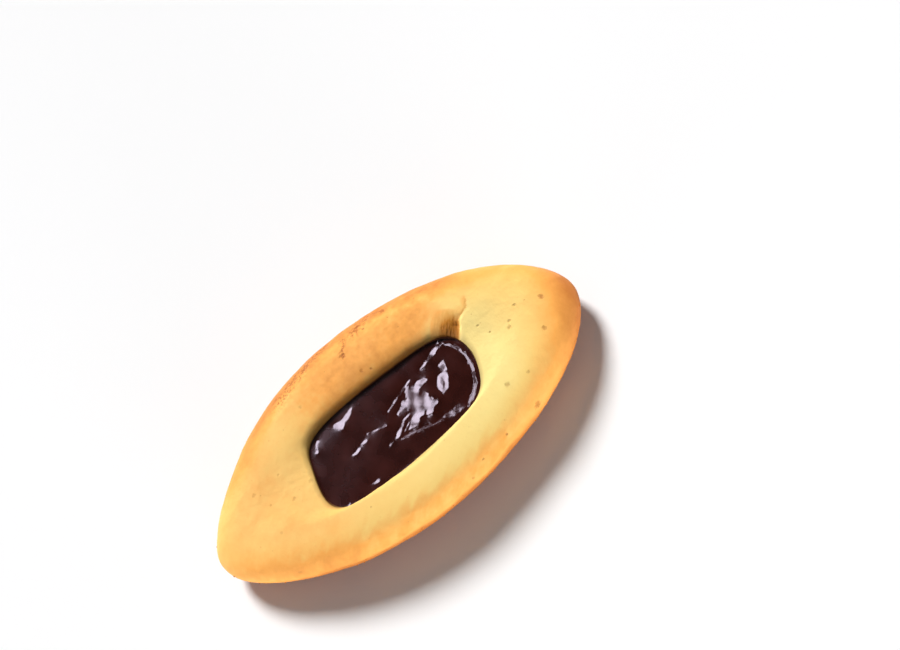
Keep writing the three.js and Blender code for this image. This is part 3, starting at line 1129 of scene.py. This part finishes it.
def direction(turn, rise):
    """From the biscuit towards a place, turned from the front and risen above the floor, in degrees."""
    turn, rise = math.radians(turn), math.radians(rise)
    flat = math.cos(rise)
    return Vector((math.sin(turn) * flat, -math.cos(turn) * flat, math.sin(rise)))


def add_camera():
    camera = add_object("camera", bpy.data.cameras.new("camera"))
    back = direction(CAMERA_TURN, CAMERA_RISE)
    upright = (-back).to_track_quat("-Z", "Y").to_matrix()
    roll = Matrix.Rotation(math.radians(CAMERA_ROLL), 3, "Z")
    camera.matrix_world = (upright @ roll).to_4x4()
    camera.location = CAMERA_AIM + back * CAMERA_AWAY
    camera.data.lens = camera.data.sensor_width * FOCAL_PIXELS / FRAME_WIDTH
    camera.data.clip_start = 0.01
    bpy.context.scene.camera = camera
    print("lens", round(camera.data.lens, 1), "mm")


add_camera()


# %% Floor
FLOOR_REACH = 0.88  # just short of the strips, so it is white up to its edge


def add_floor():
    mesh = bpy.data.meshes.new("floor")
    turns = [math.tau * step / 96 for step in range(96)]
    rim = [(FLOOR_REACH * math.cos(turn), FLOOR_REACH * math.sin(turn), 0.0) for turn in turns]
    mesh.from_pydata(rim, [], [list(range(len(rim)))])
    floor = add_object("floor", mesh)
    material, tree, shader = new_material("White table")
    set_inputs(tree, shader, {"Base Color": (0.97, 0.97, 0.97, 1), "Roughness": 0.9})
    mesh.materials.append(material)


add_floor()


# %% [markdown]
# ## Light
#
# A soft key light stands behind the biscuit, so its shadow falls towards the viewer. Three long
# strips stand low on the floor: they light the near shoulder and both ends without washing out that
# shadow, which lies under their light.
#
# The chocolate has lights of its own, which light nothing and are seen only in reflections. A small
# window lies where a slope of about seven degrees mirrors it. Four dimmer gleams lie lower, round
# the back and the left, where the steeper ledges and the flanks of the ridges mirror them.


# %% Lights
def add_lamp(name, kind, turn, rise, away, power, colour=(1, 1, 1, 1)):
    data = bpy.data.lights.new(name, kind)
    data.energy = power
    data.color = colour[:3]
    lamp = add_object(name, data)
    towards = direction(turn, rise)
    lamp.location = towards * away
    lamp.rotation_euler = towards.to_track_quat("Z", "Y").to_euler()
    return lamp


def add_panel(name, turn, rise, away, size, power, colour=(1, 1, 1, 1)):
    lamp = add_lamp(name, "AREA", turn, rise, away, power, colour)
    lamp.data.shape = "RECTANGLE"
    lamp.data.size, lamp.data.size_y = size
    lamp.visible_camera = False
    return lamp


def add_world():
    """White for the camera. It lights the scene weakly, and is dark overhead in reflections."""
    world = bpy.data.worlds.new("studio")
    world.use_nodes = True
    tree = world.node_tree
    path = tree.nodes.new("ShaderNodeLightPath")
    camera, mirror = [Wire(tree, path.outputs[n]) for n in ("Is Camera Ray", "Is Glossy Ray")]
    _, _, up = split(tree, result(tree, "ShaderNodeTexCoord", output="Generated"))
    reflected = mix(0.5, 0.02, up.share(0.1, 0.7, smooth=True))
    strength = mix(mix(0.08, reflected, mirror), 1.0, camera)
    set_inputs(tree, tree.nodes["Background"], {"Color": (1, 1, 1, 1), "Strength": strength})
    bpy.context.scene.world = world


add_world()
key = add_lamp("key", "SUN", turn=180, rise=42, away=1.0, power=4.15)
key.data.angle = math.radians(17)
key.visible_glossy = False
for turn, power in ((0, 6.6), (77, 3.3), (-77, 3.5)):
    strip = add_panel("low strip", turn, rise=3, away=0.9, size=(0.7, 0.05), power=power)
    strip.visible_glossy = False
lilac = {"away": 2.4, "colour": paint(228, 216, 236)}
glints = [add_panel("window", turn=203.2, rise=54.3, size=(0.37, 0.37), power=11.0, **lilac)]
for turn, rise in ((182, 34), (209, 35), (238, 48), (272, 65)):
    glints.append(add_panel("gleam", turn, rise, size=(0.9, 0.4), power=18.0, **lilac))
for glint in glints:
    glint.visible_diffuse = False
print("a key light, three strips and", len(glints), "lights for reflections")
bpy.context.scene.view_settings.view_transform = "Standard"
